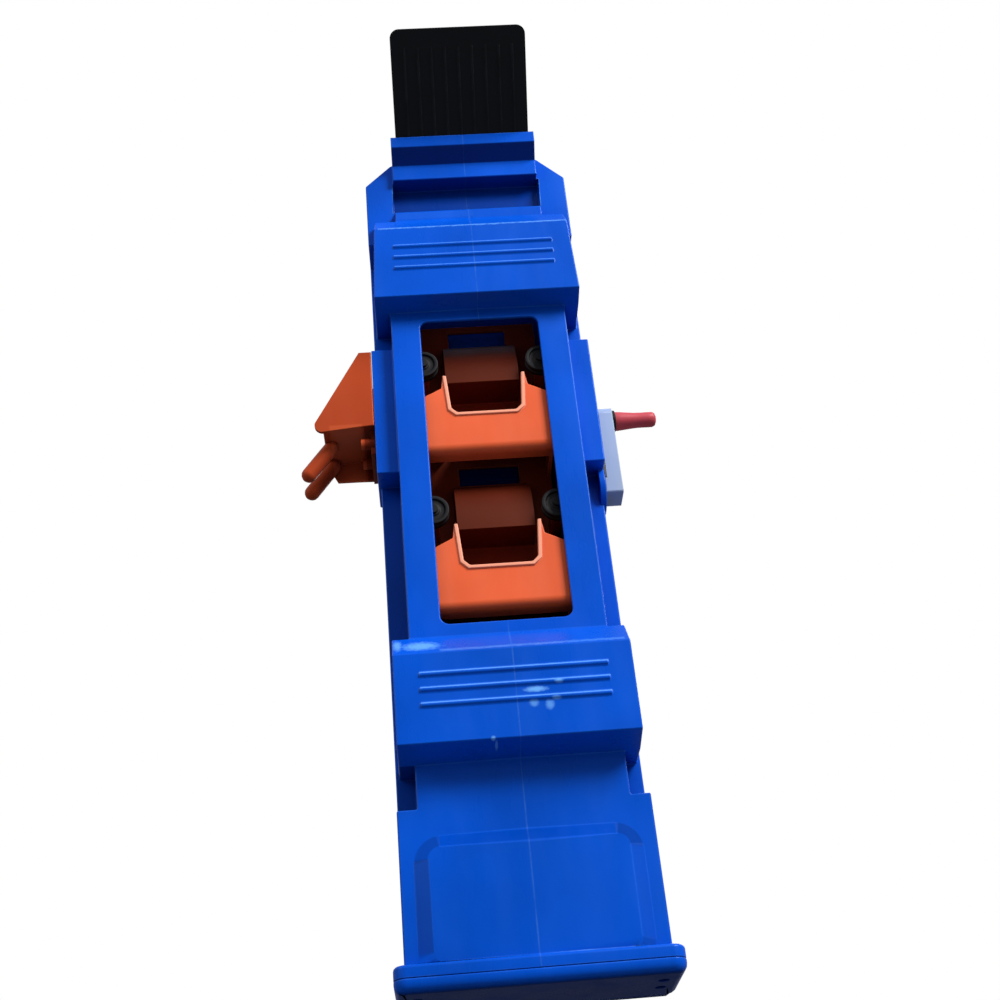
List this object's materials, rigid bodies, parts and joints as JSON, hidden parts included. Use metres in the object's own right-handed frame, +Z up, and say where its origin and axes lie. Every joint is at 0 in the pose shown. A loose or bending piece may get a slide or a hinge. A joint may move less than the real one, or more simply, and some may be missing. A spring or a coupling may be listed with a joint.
{
  "type": "toy garage lift tower",
  "caption": "Tall toy garage lift tower with windowed casing, car trays on a rack lift, side crank, exit chute and hinged top flap.",
  "frame": {"origin": "middle of the base plate's underside, on the middle plane of the casing and 38 mm in front of its back", "axes": "+Z up the tower, +X towards the crank, -Y towards the window and the viewer"},
  "size_m": [0.258, 0.137, 0.7005],
  "materials": {
    "blue_plastic": "semi-gloss moulded",
    "orange_plastic": "satin moulded",
    "black_plastic": "ribbed matte",
    "roller_rubber": "matte",
    "grey_nylon": "natural nylon",
    "silver_plastic": "painted silver-grey",
    "red_plastic": "satin moulded",
    "steel": "zinc plated"
  },
  "bodies": {
    "tower": {"left_shell": "blue_plastic", "right_shell": "blue_plastic", "back_panel": "blue_plastic", "base_plate": "blue_plastic", "left_guide_rail": "blue_plastic", "right_guide_rail": "blue_plastic", "back_screw_left_1": "steel", "back_screw_left_2": "steel", "back_screw_left_3": "steel", "back_screw_left_4": "steel", "base_screw_left_1": "steel", "base_screw_left_2": "steel", "back_screw_right_1": "steel", "back_screw_right_2": "steel", "back_screw_right_3": "steel", "back_screw_right_4": "steel", "base_screw_right_1": "steel", "base_screw_right_2": "steel", "inner_bush": "grey_nylon", "outer_bush": "grey_nylon", "exit_chute": "orange_plastic", "chute_screw_1": "steel", "chute_screw_2": "steel", "flap_pin": "steel"},
    "lift": {"lift_back_plate": "orange_plastic", "upper_tray": "orange_plastic", "lower_tray": "orange_plastic", "lift_rack": "grey_nylon", "rack_screw_upper": "steel", "rack_screw_lower": "steel", "tray_screw_lower_left": "steel", "tray_screw_lower_right": "steel", "tray_screw_upper_left": "steel", "tray_screw_upper_right": "steel", "roller_pin_lower_left": "steel", "roller_pin_lower_right": "steel", "roller_pin_upper_left": "steel", "roller_pin_upper_right": "steel"},
    "roller_lower_left": {"roller_lower_left": "roller_rubber"},
    "roller_lower_right": {"roller_lower_right": "roller_rubber"},
    "roller_upper_left": {"roller_upper_left": "roller_rubber"},
    "roller_upper_right": {"roller_upper_right": "roller_rubber"},
    "crank": {"crank_arm": "silver_plastic", "drive_axle": "steel", "drive_pinion": "grey_nylon", "axle_clip": "steel", "crank_screw": "steel", "grip_pin": "steel"},
    "grip": {"crank_grip": "red_plastic", "grip_collar": "black_plastic"},
    "flap": {"top_flap": "black_plastic"}
  },
  "joints": [
    {"name": "carriage_lift", "type": "slide", "parent": "tower", "child": "lift", "axis": [0, 0, 1], "range_m": [-0.094, 0.123]},
    {"name": "crank_turn", "type": "hinge", "parent": "tower", "child": "crank", "pos_m": [0.0803, 0.0166, 0.344], "axis": [1, 0, 0], "range_deg": [-587.4, 448.9]},
    {"name": "roller_lower_left_turn", "type": "hinge", "parent": "lift", "child": "roller_lower_left", "pos_m": [-0.0427, -0.01, 0.32], "axis": [0, 1, 0], "range_deg": [-640.8, 489.7]},
    {"name": "roller_lower_right_turn", "type": "hinge", "parent": "lift", "child": "roller_lower_right", "pos_m": [0.0427, -0.01, 0.32], "axis": [0, 1, 0], "range_deg": [-489.7, 640.8]},
    {"name": "roller_upper_left_turn", "type": "hinge", "parent": "lift", "child": "roller_upper_left", "pos_m": [-0.0427, -0.01, 0.443], "axis": [0, 1, 0], "range_deg": [-640.8, 489.7]},
    {"name": "roller_upper_right_turn", "type": "hinge", "parent": "lift", "child": "roller_upper_right", "pos_m": [0.0427, -0.01, 0.443], "axis": [0, 1, 0], "range_deg": [-489.7, 640.8]},
    {"name": "grip_spin", "type": "hinge", "parent": "crank", "child": "grip", "pos_m": [0.0951, 0.0166, 0.4035], "axis": [1, 0, 0], "continuous": true},
    {"name": "flap_swing", "type": "hinge", "parent": "tower", "child": "flap", "pos_m": [0, -0.03, 0.6408], "axis": [1, 0, 0], "range_deg": [-140, 0]}
  ],
  "couplings": [
    {"joint": "crank_turn", "follows": "carriage_lift", "rad_per_m": -83.333},
    {"joint": "roller_lower_left_turn", "follows": "carriage_lift", "rad_per_m": -90.909},
    {"joint": "roller_lower_right_turn", "follows": "carriage_lift", "rad_per_m": 90.909},
    {"joint": "roller_upper_left_turn", "follows": "carriage_lift", "rad_per_m": -90.909},
    {"joint": "roller_upper_right_turn", "follows": "carriage_lift", "rad_per_m": 90.909}
  ]
}
